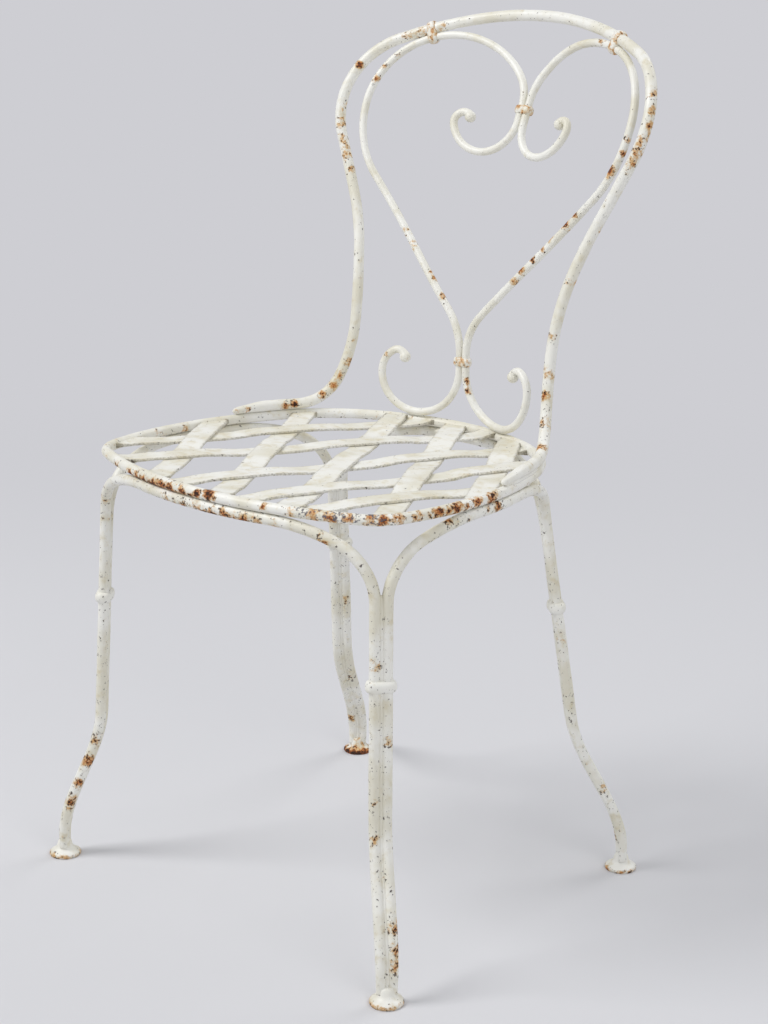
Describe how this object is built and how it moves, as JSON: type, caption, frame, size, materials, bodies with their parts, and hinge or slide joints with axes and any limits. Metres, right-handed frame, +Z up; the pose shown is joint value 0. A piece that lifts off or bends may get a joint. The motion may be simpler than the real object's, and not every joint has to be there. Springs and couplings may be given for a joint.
{
  "type": "metal bistro chair",
  "caption": "Forged metal garden chair with a woven strap seat, paired rod legs on disc feet and a hoop back that holds a heart of scrolled rods.",
  "frame": {"origin": "on the floor, under the middle of the chair's box", "axes": "+Z up, -Y towards the front edge of the seat, +Y towards the back, +X to the right as seen from the front"},
  "size_m": [0.499, 0.497, 0.8753],
  "materials": {
    "ring_paint": "thick aged off-white paint, chipped and rusted along the front",
    "strap_paint": "thick aged off-white paint, brushed on, with dark lines at the edges",
    "leg_paint": "thick aged off-white paint with dark chips and rust runs",
    "back_paint": "thick aged off-white paint with a few rust patches",
    "scroll_paint": "thick aged off-white paint with small rust spots",
    "leg_collar_paint": "aged off-white paint, rusted at the edges",
    "back_collar_paint": "paint mostly gone to orange and brown rust",
    "foot_paint": "aged off-white paint with a rusty rim"
  },
  "bodies": {
    "root": {"seat_ring": "ring_paint", "right_strap_1": "strap_paint", "right_strap_2": "strap_paint", "right_strap_3": "strap_paint", "right_strap_4": "strap_paint", "right_strap_5": "strap_paint", "left_strap_1": "strap_paint", "left_strap_2": "strap_paint", "left_strap_3": "strap_paint", "left_strap_4": "strap_paint", "left_strap_5": "strap_paint", "front_arch": "leg_paint", "right_arch": "leg_paint", "rear_arch": "leg_paint", "left_arch": "leg_paint", "back_hoop": "back_paint", "right_scroll": "scroll_paint", "left_scroll": "scroll_paint", "right_front_collar": "leg_collar_paint", "right_rear_collar": "leg_collar_paint", "left_rear_collar": "leg_collar_paint", "left_front_collar": "leg_collar_paint", "neck_collar": "back_collar_paint", "heart_collar": "back_collar_paint", "right_top_collar": "back_collar_paint", "left_top_collar": "back_collar_paint", "right_front_foot": "foot_paint", "right_rear_foot": "foot_paint", "left_rear_foot": "foot_paint", "left_front_foot": "foot_paint"}
  },
  "joints": []
}
